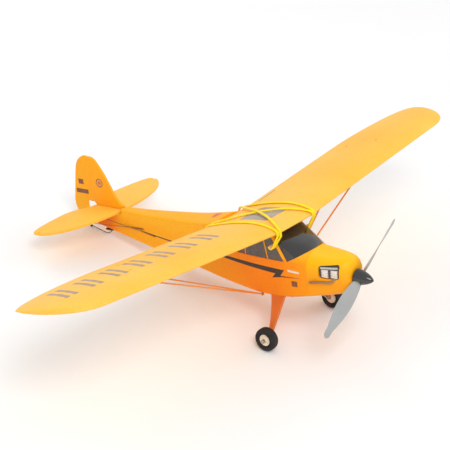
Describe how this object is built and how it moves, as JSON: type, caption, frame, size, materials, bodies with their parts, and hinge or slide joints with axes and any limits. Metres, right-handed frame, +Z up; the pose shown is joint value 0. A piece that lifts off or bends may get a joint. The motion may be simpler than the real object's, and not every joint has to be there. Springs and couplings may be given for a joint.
{
  "type": "rc foam airplane",
  "caption": "High-wing radio-controlled foam airplane with a hinged rudder and elevator, a geared electric propeller and a rubber-banded wing.",
  "frame": {"origin": "on the floor, under the middle of the airplane as it stands on its wheels and tail skid", "axes": "+X to the left wing tip, +Y towards the tail, +Z up"},
  "size_m": [0.9386, 0.5984, 0.2074],
  "materials": {
    "battery_sleeve": "heat-shrunk sleeve",
    "birch": "bare birch ply and dowel",
    "black_rubber": "matt foam rubber",
    "carbon": "satin rod",
    "dark_plastic": "satin dark",
    "grey_plastic": "satin",
    "orange_foam": "matt moulded foam",
    "orange_plastic": "satin",
    "smoke_panel": "gloss dark panel",
    "steel": "bright wire",
    "white_plastic": "satin white",
    "yellow_foam": "matt moulded foam",
    "yellow_rubber": "matt band"
  },
  "bodies": {
    "airframe": {"band_peg_front": "birch", "band_peg_rear": "birch", "battery_pack": "battery_sleeve", "dummy_engine_left": "dark_plastic", "dummy_engine_right": "dark_plastic", "elevator_hinge_pin": "steel", "elevator_servo": "dark_plastic", "equipment_shelf": "birch", "fin": "yellow_foam", "firewall": "birch", "fuselage_left": "orange_foam", "fuselage_right": "orange_foam", "gear_leg_left": "orange_plastic", "gear_leg_right": "orange_plastic", "gearbox_frame": "grey_plastic", "hatch_hinge_bracket": "orange_plastic", "hatch_pin": "steel", "landing_gear_plate": "orange_plastic", "landing_gear_wire": "steel", "motor": "steel", "nose_cowl": "yellow_foam", "receiver_unit": "grey_plastic", "rubber_band_cross_high": "yellow_rubber", "rubber_band_cross_low": "yellow_rubber", "rubber_band_left": "yellow_rubber", "rubber_band_right": "yellow_rubber", "rudder_hinge_pin": "steel", "rudder_servo": "dark_plastic", "servo_shelf": "birch", "side_window_left": "dark_plastic", "side_window_right": "dark_plastic", "skylight": "smoke_panel", "stabilizer": "yellow_foam", "strut_mount_left": "orange_plastic", "strut_mount_right": "orange_plastic", "tail_skid": "black_rubber", "windscreen": "dark_plastic", "wing": "yellow_foam", "wing_spar": "carbon", "wing_strut_left": "orange_plastic", "wing_strut_right": "orange_plastic"},
    "propeller_set": {"prop_shaft": "steel", "propeller": "grey_plastic", "spinner": "dark_plastic", "spur_gear": "white_plastic"},
    "pinion": {"pinion": "steel"},
    "wheel_left": {"tyre_left": "black_rubber", "wheel_hub_left": "white_plastic"},
    "wheel_right": {"tyre_right": "black_rubber", "wheel_hub_right": "white_plastic"},
    "elevator": {"elevator": "yellow_foam", "elevator_horn": "white_plastic"},
    "rudder": {"rudder": "yellow_foam", "rudder_horn": "white_plastic"},
    "elevator_pushrod": {"elevator_pushrod": "steel"},
    "elevator_servo_arm": {"elevator_servo_arm": "white_plastic"},
    "rudder_pushrod": {"rudder_pushrod": "steel"},
    "rudder_servo_arm": {"rudder_servo_arm": "white_plastic"},
    "battery_hatch": {"battery_hatch": "orange_foam"}
  },
  "joints": [
    {"name": "prop_spin", "type": "hinge", "parent": "airframe", "child": "propeller_set", "pos_m": [0, -0.26551, 0.1282], "axis": [0, 0.9885, -0.1512], "continuous": true},
    {"name": "pinion_spin", "type": "hinge", "parent": "airframe", "child": "pinion", "pos_m": [0, -0.25345, 0.14092], "axis": [0, 0.9885, -0.1512], "continuous": true},
    {"name": "wheel_left_spin", "type": "hinge", "parent": "airframe", "child": "wheel_left", "pos_m": [0.0847, -0.18096, 0.01789], "axis": [1, 0, 0], "continuous": true},
    {"name": "wheel_right_spin", "type": "hinge", "parent": "airframe", "child": "wheel_right", "pos_m": [-0.0847, -0.18096, 0.01789], "axis": [1, 0, 0], "continuous": true},
    {"name": "elevator_hinge", "type": "hinge", "parent": "airframe", "child": "elevator", "pos_m": [0, 0.24413, 0.0458], "axis": [1, 0, 0], "range_deg": [-20, 20]},
    {"name": "elevator_rod_slide", "type": "slide", "parent": "airframe", "child": "elevator_pushrod", "axis": [-0.0125, 0.9951, -0.0976], "range_m": [-0.0045, 0.0045]},
    {"name": "elevator_arm_turn", "type": "hinge", "parent": "airframe", "child": "elevator_servo_arm", "pos_m": [-0.00965, -0.04703, 0.07436], "axis": [1, 0, 0], "range_deg": [-21, 21]},
    {"name": "rudder_hinge", "type": "hinge", "parent": "airframe", "child": "rudder", "pos_m": [0, 0.25241, 0.04386], "axis": [0, 0.2282, 0.9736], "range_deg": [-25, 25]},
    {"name": "rudder_rod_slide", "type": "slide", "parent": "airframe", "child": "rudder_pushrod", "axis": [-0.0145, 0.958, -0.2863], "range_m": [-0.0058, 0.0058]},
    {"name": "rudder_arm_turn", "type": "hinge", "parent": "airframe", "child": "rudder_servo_arm", "pos_m": [-0.00697, -0.04303, 0.09142], "axis": [1, 0, 0], "range_deg": [-30, 30]},
    {"name": "hatch_hinge", "type": "hinge", "parent": "airframe", "child": "battery_hatch", "pos_m": [0.02238, -0.10224, 0.04481], "axis": [0, -0.9875, 0.1578], "range_deg": [0, 90]}
  ],
  "couplings": [
    {"joint": "pinion_spin", "follows": "prop_spin", "ratio": -2.6},
    {"joint": "elevator_rod_slide", "follows": "elevator_hinge", "m_per_rad": 0.011},
    {"joint": "elevator_arm_turn", "follows": "elevator_hinge", "ratio": 1},
    {"joint": "rudder_rod_slide", "follows": "rudder_hinge", "m_per_rad": -0.0125},
    {"joint": "rudder_arm_turn", "follows": "rudder_hinge", "ratio": 1.1364}
  ]
}
